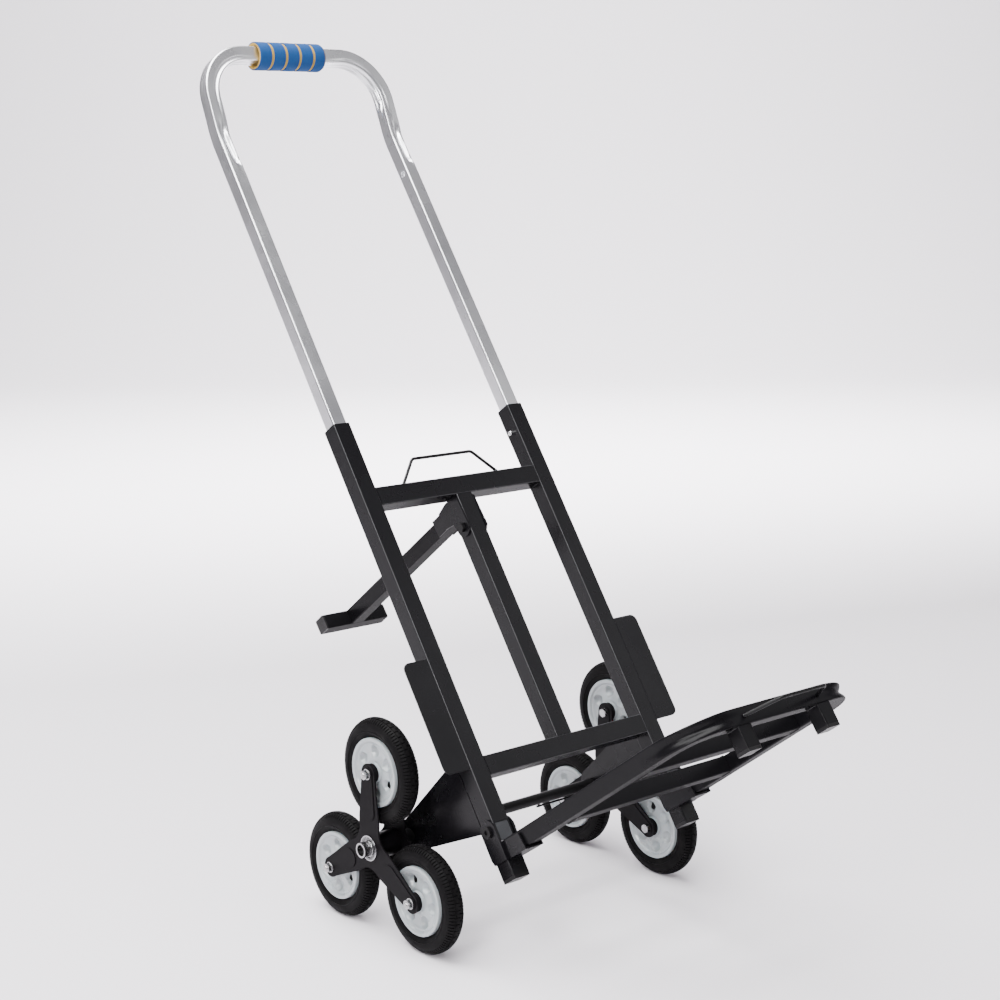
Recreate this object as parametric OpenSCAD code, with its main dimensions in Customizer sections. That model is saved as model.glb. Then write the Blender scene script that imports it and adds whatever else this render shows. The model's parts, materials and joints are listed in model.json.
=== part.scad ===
// Stair climbing trolley: leaning tube frame, telescopic handle, folding toe frame,
// folding rear prop and two three-wheel clusters that turn on one axle.
// Millimetres, +Z up, +X along the axle, toe frame towards -Y, handle towards +Y.
// The origin is on the floor under the middle of the resting trolley.

/* [Stance] */
// Backward lean of the main frame from vertical, degrees
lean_deg = 34.27; // [20:0.01:50]
// Distance from the axle line to the front face of the side tubes
frame_offset = 198.25; // [194:0.25:240]
// Y position of the axle, sets the origin under the middle of the whole trolley
axle_y = 19.45; // [0:0.05:60]

/* [Main frame] */
// Outer size of the square frame tubes
tube_w = 30; // [25:0.5:40]
// Wall thickness of the square frame tubes
tube_wall = 1.5; // [1:0.1:3]
// Outside corner radius of the square frame tubes
tube_r = 2; // [1.6:0.1:4]
// Half width over the side tubes
frame_half_w = 188.3; // [150:0.1:220]
// Lower end of the side tubes, measured along the tube from the axle
side_low = -76; // [-90:1:-60]
// Upper end of the side tubes, measured along the tube from the axle
side_high = 596; // [500:1:700]
// Lower edge of the upper crossbar
upper_bar_low = 454.9; // [400:0.1:520]
// Lower edge of the lower crossbar
lower_bar_low = 18.1; // [10:0.1:60]
// Width of the slot in the front wall at the foot of each side tube
slot_w = 23; // [15:0.5:25]
// Upper end of that slot
slot_top = -49; // [-60:1:-40]

/* [Wheel guards and gussets] */
// Lower edge of the guard plates
fender_low = 33.7; // [10:0.1:60]
// Upper edge of the guard plates
fender_high = 206.6; // [150:0.1:260]
// Width of the guard plates beyond the side tubes
fender_w = 45.2; // [30:0.1:60]
// Thickness of the guard plates
fender_t = 2; // [1:0.1:3]
// Corner radius of the guard plates
fender_r = 11; // [4:0.5:20]
// Thickness of the gusset plates that carry the axle
gusset_t = 4; // [3:0.5:6]
// Gusset edge above the axle line at the side tube
gusset_up = 58; // [40:1:80]
// Gusset edge below the axle line at the side tube
gusset_down = 56; // [40:1:70]
// Radius of the gusset end around the axle
gusset_r = 24; // [18:1:30]

/* [Axle] */
// Axle diameter
axle_d = 17; // [15:0.1:20]
// Half length of the axle bar
axle_half = 272; // [250:0.5:300]
// Outer end of the axle end sleeves
sleeve_end = 280; // [275:0.5:300]
// Outside diameter of the axle end sleeves
sleeve_d = 22.5; // [20:0.1:30]

/* [Wheel clusters] */
// Distance from the axle to each wheel centre
arm_r = 113.1; // [100:0.1:130]
// Outer radius of the tyres
tyre_r = 80; // [70:0.5:82]
// Radius of the tyre cross section
tyre_section = 16.1; // [12:0.1:20]
// Radius of the rim under the tyre
rim_r = 52; // [45:0.5:60]
// Distance of the wheel centre plane from the middle of the axle
wheel_x = 239.5; // [220:0.1:260]
// Half distance over the two spider plates of a cluster
spider_half = 24.75; // [20:0.05:30]
// Thickness of the spider plates
spider_t = 2.5; // [2:0.1:4]
// Radius of the spider arm tips
tip_r = 15; // [12:0.5:20]
// Half width of a spider arm near the hub
arm_base = 23; // [18:0.5:28]
// Half width of a spider arm two thirds of the way out
arm_mid = 17.5; // [14:0.5:22]

/* [Telescopic handle] */
// Outer size of the square handle tube
handle_w = 25; // [20:0.5:26.6]
// Wall thickness of the handle tube
handle_wall = 1.5; // [1:0.1:2.5]
// Outside corner radius of the handle tube
handle_r = 3; // [2:0.1:5]
// Lower end of the handle legs when pulled out
leg_low = 500; // [480:1:540]
// Position of the forward bend of the legs
kink_at = 1125; // [1000:1:1200]
// Angle of the forward bend
kink_deg = 12; // [0:0.5:25]
// Centre line radius of the forward bend
kink_r = 150; // [100:1:200]
// Height of the top bar above the forward bend
loop_rise = 142; // [120:1:200]
// Centre line radius of the top corners
loop_r = 77; // [40:1:90]
// Left end of the hand grip
grip_left = -71; // [-90:1:-50]
// Right end of the hand grip
grip_right = 60; // [50:1:90]
// Outside diameter of the hand grip
grip_d = 46.5; // [38:0.5:50]
// Outside diameter of the grip core
grip_core_d = 44; // [36:0.5:45]
// Position of the lock buttons along the side tubes
button_at = 551; // [520:1:580]
// Diameter of the lock buttons
button_d = 8; // [6:0.5:10]
// Telescopic travel between the two index holes of each leg
slide_travel = 500; // [400:1:505]

/* [Rear prop] */
// Position of the prop pivot along the centre tube
prop_at = 403; // [380:1:410]
// Distance of the prop pivot behind the front face
prop_depth = 13; // [10:1:20]
// Droop of the opened prop below the square position, degrees
prop_droop = 3.05; // [0:0.05:6]
// Distance from the pivot line to the prop arm centre line
prop_rise = 30.5; // [30.5:0.5:34]
// Distance from the pivot to the centre of the prop foot
prop_reach = 377; // [300:1:380]
// Half length of the prop foot
prop_foot_half = 60; // [40:1:80]

/* [Toe frame] */
// Outer size of the square toe frame tube
toe_w = 25; // [20:0.5:30]
// Drop of the toe frame centre line below the axle line at the side tubes
toe_drop = 88.7; // [88:0.1:92]
// Upward slope of the toe frame to the front, degrees
toe_slope = 1.55; // [0:0.05:4]
// Distance from the side tubes to the front face of the toe frame
toe_len = 423; // [350:1:480]
// Inward taper of the toe frame legs, degrees
toe_taper = 1.8; // [0:0.1:4]
// Half width over the toe frame corners
toe_half_w = 173; // [160:1:180]
// Centre line radius of the toe frame corners
toe_corner = 66.5; // [40:0.5:90]
// Centre of the rear toe crossbar ahead of the side tubes
toe_bar_a = 122; // [90:1:160]
// Centre of the front toe crossbar ahead of the side tubes
toe_bar_b = 286; // [240:1:320]
// Half distance between the two front toe feet
toe_foot_x = 78; // [50:1:100]
// Position of the toe hinge below the axle line
hinge_drop = 58; // [50:1:62]
// Depth of the toe hinge behind the front face
hinge_depth = 14; // [12:0.5:18]

/* [Wire bails] */
// Diameter of the bail wire
wire_d = 5; // [4:0.5:8]
// Half distance between the feet of the upper bail
bail_foot = 97; // [80:1:120]
// Half length of the top of the upper bail
bail_top = 59; // [40:1:80]
// Height of the upper bail over the crossbar
bail_rise = 44; // [30:1:60]

/* [Hidden] */
$fn = 64;
fit = 0.05;
axle_z = tyre_r + arm_r / 2;
side_x = frame_half_w - tube_w / 2;
leg_v = -tube_w / 2;
handle_index = [leg_low + 51, leg_low + 51 + slide_travel];
kink_tan = kink_r * tan(kink_deg / 2);
toe_corner_w = toe_len - toe_w / 2 - toe_corner;
toe_corner_x = toe_half_w - toe_w / 2 - toe_corner;
toe_leg_x = toe_corner_x + toe_corner * cos(toe_taper);
toe_leg_w = toe_corner_w + toe_corner * sin(toe_taper);
bolt_d = 8;
hub_d = 38;
hub_bore = 35;
heel_top = 78;
heel_bottom = 104.3;
collar_r = 14.4;
collar_h = 6.6;
rib_h = 1.2;
rib_at = 56;
rib_base = 14;
rib_tip = 10;
grip_gap = 3;
bend_ease = 0.06;
bend_lap = 1.5;
grip_step = (grip_right - grip_left + grip_gap) / 5;

// Sub-part to draw, or all of them

// Depth in the leaning frame of a point v ahead of the tube front face
function fy(v) = -(frame_offset + v);

// Point where the line from p touches the circle (c, r), side s = 1 or -1
function touch(p, c, r, s) =
  let (d = norm(c - p), a = atan2(p[1] - c[1], p[0] - c[0]), b = s * acos(r / d))
  [c[0] + r * cos(a + b), c[1] + r * sin(a + b)];

// Leaning frame: x across, y backwards from the axle, z up along the tubes
module lean() {
  translate([0, axle_y, axle_z])
    rotate([-lean_deg, 0, 0])
      children();
}

// Toe frame plane: -y is the distance ahead of the side tubes, z is up from its centre line
module toe() {
  lean()
    translate([0, -frame_offset, -toe_drop])
      rotate([-toe_slope, 0, 0])
        children();
}

// Prop frame: y along the opened arm, z square to it, origin on the pivot
module prop() {
  lean()
    translate([0, fy(-prop_depth), prop_at])
      rotate([-prop_droop, 0, 0])
        children();
}

// Axle frame, not leaning
module at_axle() {
  translate([0, axle_y, axle_z])
    children();
}

// Wheel position i of the cluster on side s
module at_wheel(s, i) {
  at_axle()
    rotate([120 * i, 0, 0])
      translate([s * wheel_x, 0, arm_r])
        children();
}

// Draws a (y, z) profile as a plate from x0 to x0 + t
module plate_x(x0, t) {
  translate([x0, 0, 0])
    rotate([90, 0, 90])
      linear_extrude(t)
        children();
}

// Cylinder along x from x0 to x1
module rod_x(x0, x1, d) {
  translate([min(x0, x1), 0, 0])
    rotate([0, 90, 0])
      cylinder(h = abs(x1 - x0), d = d);
}

// Ring along x from x0 to x1
module ring_x(x0, x1, d, bore) {
  difference() {
    rod_x(x0, x1, d);
    rod_x(min(x0, x1) - 1, max(x0, x1) + 1, bore);
  }
}

// Hexagon along x from x0 to x1
module hex_x(x0, x1, flats) {
  translate([min(x0, x1), 0, 0])
    rotate([0, 90, 0])
      cylinder(h = abs(x1 - x0), d = flats / cos(30), $fn = 6);
}

// Square outline with round corners
module rounded_square(w, r) {
  square([w - 2 * r, w], center = true);
  square([w, w - 2 * r], center = true);
  for (i = [-1, 1])
    for (j = [-1, 1])
      translate([i * (w / 2 - r), j * (w / 2 - r)])
        circle(r);
}

// Square tube outline
module tube_outline(w, wall, r) {
  difference() {
    rounded_square(w, r);
    rounded_square(w - 2 * wall, max(r - wall, 0.4));
  }
}

// Square tube along z from z0 to z1
module tube_z(w, wall, r, z0, z1) {
  translate([0, 0, z0])
    linear_extrude(z1 - z0)
      tube_outline(w, wall, r);
}

// Square tube along x from x0 to x1
module tube_x(w, wall, r, x0, x1) {
  translate([x0, 0, 0])
    rotate([90, 0, 90])
      linear_extrude(x1 - x0)
        tube_outline(w, wall, r);
}

// Square bar along y from y0 to y1
module tube_y(w, wall, r, y0, y1) {
  translate([0, y1, 0])
    rotate([90, 0, 0])
      linear_extrude(y1 - y0)
        tube_outline(w, wall, r);
}

module side_tube(s) {
  color([0.16, 0.16, 0.18])
    lean()
      translate([s * side_x, fy(leg_v), 0])
        difference() {
          tube_z(tube_w, tube_wall, tube_r, side_low, side_high);
          translate([-slot_w / 2, -tube_w / 2 - 1, side_low - 1])
            cube([slot_w, tube_wall + 2, slot_top - side_low + 1]);
          translate([0, hinge_depth - tube_w / 2, -hinge_drop])
            rod_x(-tube_w, tube_w, 10 + 2 * fit);
          translate([0, 0, button_at])
            rod_x(0, -s * tube_w, button_d + 2 * fit);
        }
}

module side_tube_left() {
  side_tube(-1);
}

module side_tube_right() {
  side_tube(1);
}

module crossbar(low) {
  color([0.16, 0.16, 0.18])
    lean()
      translate([0, fy(leg_v), low + tube_w / 2])
        tube_x(tube_w, tube_wall, tube_r, tube_w - frame_half_w, frame_half_w - tube_w);
}

module upper_crossbar() {
  crossbar(upper_bar_low);
}

module lower_crossbar() {
  crossbar(lower_bar_low);
}

module centre_tube() {
  color([0.16, 0.16, 0.18])
    lean()
      difference() {
        translate([0, fy(leg_v), 0])
          tube_z(tube_w, tube_wall, tube_r, lower_bar_low + tube_w, upper_bar_low);
        translate([0, fy(-prop_depth), prop_at])
          rod_x(-tube_w, tube_w, bolt_d + 2 * fit);
      }
}

module fender(s) {
  x_out = frame_half_w + fender_w;
  color([0.15, 0.15, 0.17])
    lean()
      translate([0, fy(-0.8 - fender_t), 0])
        rotate([90, 0, 0])
          mirror([s < 0 ? 1 : 0, 0, 0])
            linear_extrude(fender_t) {
              translate([frame_half_w, fender_low])
                square([fender_w - fender_r, fender_high - fender_low]);
              translate([frame_half_w, fender_low + fender_r])
                square([fender_w, fender_high - fender_low - 2 * fender_r]);
              for (z = [fender_low + fender_r, fender_high - fender_r])
                translate([x_out - fender_r, z])
                  circle(fender_r);
            }
}

module fender_left() {
  fender(-1);
}

module fender_right() {
  fender(1);
}

module gusset(s) {
  back = fy(-tube_w);
  top = [back, gusset_up];
  low = [back, -gusset_down];
  face = s > 0 ? frame_half_w - gusset_t : -frame_half_w;
  color([0.15, 0.15, 0.17])
    lean()
      difference() {
        union() {
          rod_x(face, face + gusset_t, 2 * gusset_r + 0.8);
          plate_x(face, gusset_t)
            polygon([low, top, touch(top, [0, 0], gusset_r, -1), touch(low, [0, 0], gusset_r, 1)]);
        }
        rod_x(face - 1, face + gusset_t + 1, axle_d + 2 * fit);
      }
}

module gusset_left() {
  gusset(-1);
}

module gusset_right() {
  gusset(1);
}

module axle() {
  color([0.12, 0.12, 0.13])
    at_axle()
      rod_x(-axle_half, axle_half, axle_d);
}

module axle_end_sleeves() {
  color([0.75, 0.76, 0.78])
    at_axle()
      for (s = [-1, 1])
        ring_x(s * (wheel_x + spider_half + 2.1), s * sleeve_end, sleeve_d, axle_d + 2 * fit);
}

module hub_spacers() {
  color([0.13, 0.13, 0.14])
    at_axle()
      for (s = [-1, 1])
        ring_x(s * (frame_half_w + fit), s * (wheel_x - spider_half - 4.3), 25, axle_d + 2 * fit);
}

// Bent wire bail standing on y = 0 in the xy plane
module bail(foot, top, rise) {
  turn = atan2(rise, foot - top);
  bend = 10;
  lap = 0.6;
  cut = bend * tan(turn / 2) - lap;
  long = norm([foot - top, rise]);
  lift = wire_d / 2 / tan(turn) + fit;
  translate([cut - top, rise, 0])
    rotate([0, 90, 0])
      cylinder(h = 2 * (top - cut), d = wire_d);
  for (s = [0, 1])
    mirror([s, 0, 0]) {
      translate([foot, 0, 0])
        rotate([0, 0, 180 - turn])
          translate([lift, 0, 0])
            rotate([0, 90, 0])
              cylinder(h = long - cut - lift, d = wire_d);
      translate([top - cut - lap, rise - bend, 0])
        rotate([0, 0, 90 - turn])
          rotate_extrude(angle = turn)
            translate([bend, 0])
              circle(d = wire_d + bend_ease);
    }
}

module upper_bail() {
  color([0.1, 0.1, 0.11])
    lean()
      translate([0, fy(leg_v), upper_bar_low + tube_w])
        rotate([90, 0, 0])
          bail(bail_foot, bail_top, bail_rise);
}

module axle_hook() {
  color([0.1, 0.1, 0.11])
    at_axle() {
      for (x = [70, 156])
        translate([x, 0, -13.5])
          cylinder(h = 5 - fit, d = 4);
      translate([0, 0, -12])
        rod_x(66, 160, 3.4);
    }
}

module pivot_plugs() {
  inner = tube_w - 2 * tube_wall - 0.2;
  color([0.3, 0.3, 0.31])
    lean()
      for (s = [-1, 1])
        translate([s * side_x, fy(leg_v), 0])
          difference() {
            union() {
              translate([-inner / 2, -inner / 2, side_low])
                cube([inner, inner, slot_top - side_low + 6]);
              translate([0.3 - slot_w / 2, 0.4 - tube_w / 2, side_low])
                cube([slot_w - 0.6, 3, slot_top - side_low - 1]);
            }
            translate([0, hinge_depth - tube_w / 2, -hinge_drop])
              rod_x(-tube_w, tube_w, 10 + 2 * fit);
          }
}

module toe_pivot_bolts() {
  color([0.55, 0.56, 0.58])
    lean()
      for (s = [-1, 1])
        translate([0, fy(-hinge_depth), -hinge_drop])
          difference() {
            union() {
              rod_x(s * (frame_half_w + 3.5), s * (frame_half_w - tube_w - 12), 10);
              rod_x(s * (frame_half_w + 3.5), s * (frame_half_w + 7.5), 17);
              hex_x(s * (frame_half_w - tube_w - 3.6), s * (frame_half_w - tube_w - 11), 16);
            }
            hex_x(s * (frame_half_w + 5), s * (frame_half_w + 9), 7);
          }
}

module prop_pivot_bolt() {
  color([0.7, 0.71, 0.73])
    lean()
      translate([0, fy(-prop_depth), prop_at]) {
        rod_x(-20, 28.5, bolt_d);
        hex_x(-24.2, -18.9, 13);
        hex_x(18.9, 25.4, 13);
      }
}

// Path of the handle tube filled with a rounded square of width w
module handle_path(w, r, ext) {
  for (s = [0, 1])
    mirror([s, 0, 0]) {
      translate([side_x, fy(leg_v), leg_low - ext])
        linear_extrude(kink_at - kink_tan - leg_low + ext + bend_lap)
          rounded_square(w, r);
      translate([side_x, fy(leg_v + kink_r), kink_at - kink_tan])
        rotate([90, 0, 90])
          rotate_extrude(angle = kink_deg)
            translate([kink_r, 0])
              rounded_square(w + bend_ease, r);
      translate([0, fy(leg_v), kink_at])
        rotate([kink_deg, 0, 0]) {
          translate([side_x, 0, kink_tan - bend_lap])
            linear_extrude(loop_rise - loop_r - kink_tan + 2 * bend_lap)
              rounded_square(w, r);
          translate([side_x - loop_r, 0, loop_rise - loop_r])
            rotate([90, 0, 0])
              rotate_extrude(angle = 90)
                translate([loop_r, 0])
                  rounded_square(w + bend_ease, r);
        }
    }
  translate([loop_r - side_x - bend_lap, fy(leg_v), kink_at])
    rotate([kink_deg, 0, 0])
      translate([0, 0, loop_rise])
        rotate([90, 0, 90])
          linear_extrude(2 * (side_x - loop_r + bend_lap))
            rounded_square(w, r);
}

module handle_tube() {
  color([0.8, 0.81, 0.83])
    lean()
      difference() {
        handle_path(handle_w, handle_r, 0);
        handle_path(handle_w - 2 * handle_wall, handle_r - handle_wall, 5);
        for (s = [-1, 1])
          for (z = handle_index)
            translate([s * side_x, fy(leg_v), z])
              rod_x(0, -s * handle_w, button_d + 1.4);
      }
}

module handle_end_plugs() {
  color([0.2, 0.2, 0.21])
    lean()
      for (s = [-1, 1])
        translate([s * side_x, fy(leg_v), leg_low]) {
          translate([0, 0, -8])
            linear_extrude(8)
              rounded_square(26.4, 1);
          linear_extrude(22)
            rounded_square(handle_w - 2 * handle_wall - 2 * fit, handle_r - handle_wall + fit);
        }
}

module at_grip() {
  lean()
    translate([0, fy(leg_v), kink_at])
      rotate([kink_deg, 0, 0])
        translate([0, 0, loop_rise])
          children();
}

module grip_sleeve() {
  color([0.14, 0.42, 0.68])
    at_grip()
      for (i = [0:4])
        ring_x(grip_left + i * grip_step, grip_left + (i + 1) * grip_step - grip_gap,
               grip_d, grip_core_d);
}

module grip_core() {
  color([0.85, 0.62, 0.2])
    at_grip()
      ring_x(grip_left + 0.4, grip_right - 0.4, grip_core_d, 33);
}

// Lock button with a domed end, pushed towards the handle leg
module button(s) {
  color([0.8, 0.8, 0.82])
    lean()
      translate([s * (side_x - handle_w / 2 - 0.4), fy(leg_v), button_at])
        rotate([0, -s * 90, 0])
          rotate_extrude()
            difference() {
              square([button_d / 2, 9.5]);
              difference() {
                translate([button_d / 2 - 2, 7.5])
                  square([3, 3]);
                translate([button_d / 2 - 2, 7.5])
                  circle(2);
              }
            }
}

module button_left() {
  button(-1);
}

module button_right() {
  button(1);
}

module prop_cheek_outline() {
  difference() {
    union() {
      circle(15);
      polygon([[-14.5, 4], [-14.5, 45], [-9, 51], [17, 51], [40, 46], [40, 18], [18, 14], [13, -7.5]]);
    }
    circle(d = bolt_d + 2 * fit);
  }
}

module prop_bracket() {
  inner = 15.3;
  wall = inner - handle_w / 2 - 0.05;
  color([0.15, 0.15, 0.17])
    prop() {
      for (x = [-inner - 3, inner])
        plate_x(x, 3)
          prop_cheek_outline();
      for (x = [-inner, inner - wall])
        translate([x, 18.5, prop_rise - handle_w / 2])
          cube([wall, 46.5, handle_w]);
      translate([-inner, 18.5, prop_rise + handle_w / 2])
        cube([2 * inner, 46.5, wall]);
    }
}

module prop_arm() {
  color([0.17, 0.17, 0.19])
    prop()
      translate([0, 0, prop_rise]) {
        tube_y(handle_w, tube_wall, tube_r, 19.5, prop_reach - handle_w / 2);
        translate([0, prop_reach, 0])
          tube_x(handle_w, tube_wall, tube_r, -prop_foot_half, prop_foot_half);
      }
}

module prop_foot_caps() {
  color([0.08, 0.08, 0.08])
    prop()
      translate([0, prop_reach, prop_rise])
        for (s = [0, 1])
          mirror([s, 0, 0])
            translate([prop_foot_half, 0, 0])
              rotate([90, 0, 90]) {
                linear_extrude(3)
                  rounded_square(handle_w, 2.5);
                translate([0, 0, -14])
                  linear_extrude(14)
                    rounded_square(handle_w - 2 * tube_wall - 2 * fit, 1);
              }
}

// Path of the U-shaped toe tube filled with a rounded square of width w
module toe_path(w, r, ext) {
  for (s = [0, 1])
    mirror([s, 0, 0]) {
      translate([toe_leg_x, -toe_leg_w, 0])
        rotate([0, 0, -toe_taper])
          translate([0, -bend_lap, 0])
            rotate([-90, 0, 0])
              linear_extrude(toe_leg_w / cos(toe_taper) - 2 + bend_lap + ext)
                rounded_square(w, r);
      translate([toe_corner_x, -toe_corner_w, 0])
        mirror([0, 1, 0])
          rotate([0, 0, toe_taper])
            rotate_extrude(angle = 90 - toe_taper)
              translate([toe_corner, 0])
                rounded_square(w + bend_ease, r);
    }
  translate([-toe_corner_x - bend_lap, -toe_corner_w - toe_corner, 0])
    rotate([90, 0, 90])
      linear_extrude(2 * (toe_corner_x + bend_lap))
        rounded_square(w, r);
}

module toe_frame() {
  color([0.17, 0.17, 0.19])
    toe()
      difference() {
        toe_path(toe_w, tube_r, 0);
        toe_path(toe_w - 2 * tube_wall, tube_r - tube_wall, 5);
      }
}

module toe_crossbars() {
  color([0.17, 0.17, 0.19])
    toe()
      for (w = [toe_bar_a, toe_bar_b]) {
        half = toe_leg_x + (toe_leg_w - w - toe_w / 2) * tan(toe_taper) - toe_w / 2 - 0.05;
        translate([0, -w, 0])
          tube_x(toe_w, tube_wall, tube_r, -half, half);
      }
}

module toe_feet() {
  color([0.17, 0.17, 0.19])
    toe()
      for (s = [-1, 1])
        translate([s * toe_foot_x, toe_w / 2 - toe_len, 0])
          tube_z(toe_w, tube_wall, tube_r, -toe_w / 2 - 30, -toe_w / 2);
}

// Plastic end cap for a square foot, top of the flange at z = 0
module foot_cap(w, h, plug) {
  translate([0, 0, -h])
    linear_extrude(h)
      rounded_square(w, 2.5);
  linear_extrude(plug)
    rounded_square(w - 2 * tube_wall - 2 * fit, 1);
}

module toe_foot_caps() {
  color([0.08, 0.08, 0.08])
    toe()
      for (s = [-1, 1])
        translate([s * toe_foot_x, toe_w / 2 - toe_len, -toe_w / 2 - 30])
          foot_cap(toe_w, 5, 12);
}

// Side outline of the heel bracket cheeks around the side tube, in leaning frame coordinates
module heel_rear_outline() {
  difference() {
    union() {
      translate([fy(-hinge_depth), -hinge_drop])
        circle(17);
      polygon([[fy(-31), -hinge_drop], [fy(3), -hinge_drop], [fy(3.3), -heel_bottom],
               [fy(-28), -heel_bottom], [fy(-31), -96]]);
    }
    translate([fy(-hinge_depth), -hinge_drop])
      circle(d = 10 + 2 * fit);
  }
}

// Side outline of the heel bracket cheeks around the toe tube
module heel_front_outline() {
  polygon([[fy(0.3), -heel_top], [fy(42), -heel_top - 1], [fy(46), -heel_bottom],
           [fy(0.3), -heel_bottom]]);
}

// Two cheeks and a bottom plate, the outer cheek stepped inwards ahead of the side tube
module heel_bracket(s) {
  inner = frame_half_w - tube_w - 0.3;
  outer = frame_half_w + 0.3;
  step = outer - 4.6;
  color([0.15, 0.15, 0.17])
    lean()
      mirror([s < 0 ? 1 : 0, 0, 0]) {
        for (x = [inner - 3, outer])
          plate_x(x, 3)
            heel_rear_outline();
        for (x = [inner - 4.2, step])
          plate_x(x, 3)
            heel_front_outline();
        translate([step, fy(3.3), -heel_bottom])
          cube([outer + 3 - step, 3, heel_bottom - heel_top]);
        translate([inner - 1, fy(3.3), -heel_bottom])
          cube([outer - inner + 2, 31.3, 3]);
        translate([inner - 2, fy(44), -heel_bottom])
          cube([step - inner + 3, 42, 3]);
      }
}

module heel_bracket_left() {
  heel_bracket(-1);
}

module heel_bracket_right() {
  heel_bracket(1);
}

module heel_feet() {
  color([0.17, 0.17, 0.19])
    lean()
      for (s = [-1, 1])
        translate([s * side_x, fy(leg_v), 0])
          tube_z(29, tube_wall, tube_r, -128, -heel_bottom);
}

module heel_foot_caps() {
  color([0.08, 0.08, 0.08])
    lean()
      for (s = [-1, 1])
        translate([s * side_x, fy(leg_v), -128])
          foot_cap(29, 5, 14);
}

module toe_bail() {
  color([0.1, 0.1, 0.11])
    toe()
      translate([0, -toe_len, -1])
        mirror([0, 1, 0])
          bail(72, 42, 47);
}

// Point p turned by angle a about the origin
function turned(p, a) = [p[0] * cos(a) - p[1] * sin(a), p[0] * sin(a) + p[1] * cos(a)];

// Three-armed spider outline in the (y, z) plane
module spider_outline() {
  notch = 30.4;
  notch_at = (arm_base + 30) / sin(60);
  arm = [[arm_base, notch_at / 2], [arm_base, 45], [arm_mid, 90], [tip_r, arm_r],
         [-tip_r, arm_r], [-arm_mid, 90], [-arm_base, 45], [-arm_base, notch_at / 2]];
  difference() {
    union() {
      polygon([for (i = [0:2]) for (p = arm) turned(p, 120 * i)]);
      for (i = [0:2])
        rotate(120 * i)
          translate([0, arm_r])
            circle(tip_r + 0.4);
    }
    for (i = [0:2]) {
      rotate(120 * i + 60)
        translate([0, notch_at])
          circle(notch);
      rotate(120 * i)
        translate([0, arm_r])
          circle(d = bolt_d + 2 * fit);
    }
    circle(d = hub_d);
  }
}

// Raised tongue of one arm from x0 to x0 + rib_h, with round ends
module spider_rib(x0) {
  difference() {
    union() {
      plate_x(x0, rib_h)
        polygon([[-rib_base, rib_at], [-rib_tip, arm_r], [rib_tip, arm_r], [rib_base, rib_at]]);
      plate_x(x0, rib_h)
        translate([0, rib_at])
          circle(rib_base + 0.3);
      plate_x(x0, rib_h)
        translate([0, arm_r])
          circle(rib_tip + 0.3);
    }
    translate([0, 0, arm_r])
      rod_x(x0 - 1, x0 + rib_h + 1, bolt_d + 2 * fit);
  }
}

// Spider plate of side s, outer (o = 1) or inner (o = -1)
// The raised tongues face away from the wheels and the collars face them
module spider(s, o) {
  a = s * o;
  face = s * wheel_x + a * spider_half;
  color([0.14, 0.14, 0.16])
    at_axle() {
      plate_x(a > 0 ? face - spider_t : face, spider_t)
        spider_outline();
      for (i = [0:2])
        rotate([120 * i, 0, 0]) {
          spider_rib(a > 0 ? face : face - rib_h);
          translate([face, 0, arm_r])
            ring_x(-a * spider_t, -a * (spider_t + collar_h), 2 * collar_r, 12 + 2 * fit);
        }
    }
}

module spider_outer_left() {
  spider(-1, 1);
}

module spider_inner_left() {
  spider(-1, -1);
}

module spider_outer_right() {
  spider(1, 1);
}

module spider_inner_right() {
  spider(1, -1);
}

module hub_tube(s) {
  color([0.72, 0.73, 0.75])
    at_axle()
      ring_x(s * (wheel_x - spider_half - 3.8), s * (wheel_x + spider_half + 1.6), hub_d, hub_bore);
}

module hub_tube_left() {
  hub_tube(-1);
}

module hub_tube_right() {
  hub_tube(1);
}

// Two shielded ball bearings of one hub
module hub_bearings(s) {
  color([0.6, 0.61, 0.63])
    at_axle()
      for (x = [wheel_x - spider_half - 3.6, wheel_x + spider_half - 8.6])
        difference() {
          ring_x(s * x, s * (x + 10), hub_bore, axle_d + 2 * fit);
          ring_x(s * (x + 9.2), s * (x + 11), 31, 21.5);
          ring_x(s * (x - 1), s * (x + 0.8), 31, 21.5);
        }
}

module hub_bearings_left() {
  hub_bearings(-1);
}

module hub_bearings_right() {
  hub_bearings(1);
}

// Wheel bolts of one cluster, heads inside, nuts outside
module wheel_bolts(s) {
  low = spider_half + rib_h;
  color([0.74, 0.75, 0.77])
    for (i = [0:2])
      at_wheel(s, i) {
        rod_x(-s * (low + 3), s * (low + 9), bolt_d);
        hex_x(-s * low, -s * (low + 5.3), 13);
        hex_x(s * low, s * (low + 5.3), 13);
      }
}

module wheel_bolts_left() {
  wheel_bolts(-1);
}

module wheel_bolts_right() {
  wheel_bolts(1);
}

module wheel_sleeves(s) {
  half = spider_half - spider_t;
  color([0.6, 0.6, 0.62])
    for (i = [0:2])
      at_wheel(s, i)
        ring_x(-half, half, 12, bolt_d);
}

module wheel_sleeves_left() {
  wheel_sleeves(-1);
}

module wheel_sleeves_right() {
  wheel_sleeves(1);
}

// Tyre with two ring grooves in the tread
module tyre(s, i) {
  color([0.06, 0.06, 0.06])
    at_wheel(s, i)
      rotate([0, 90, 0])
        rotate_extrude()
          difference() {
            translate([tyre_r - tyre_section, 0])
              circle(tyre_section);
            translate([0, -20])
              square([rim_r, 40]);
            for (y = [-6, 6])
              translate([tyre_r - 3.2, y - 1])
                square([5, 2]);
          }
}

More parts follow.
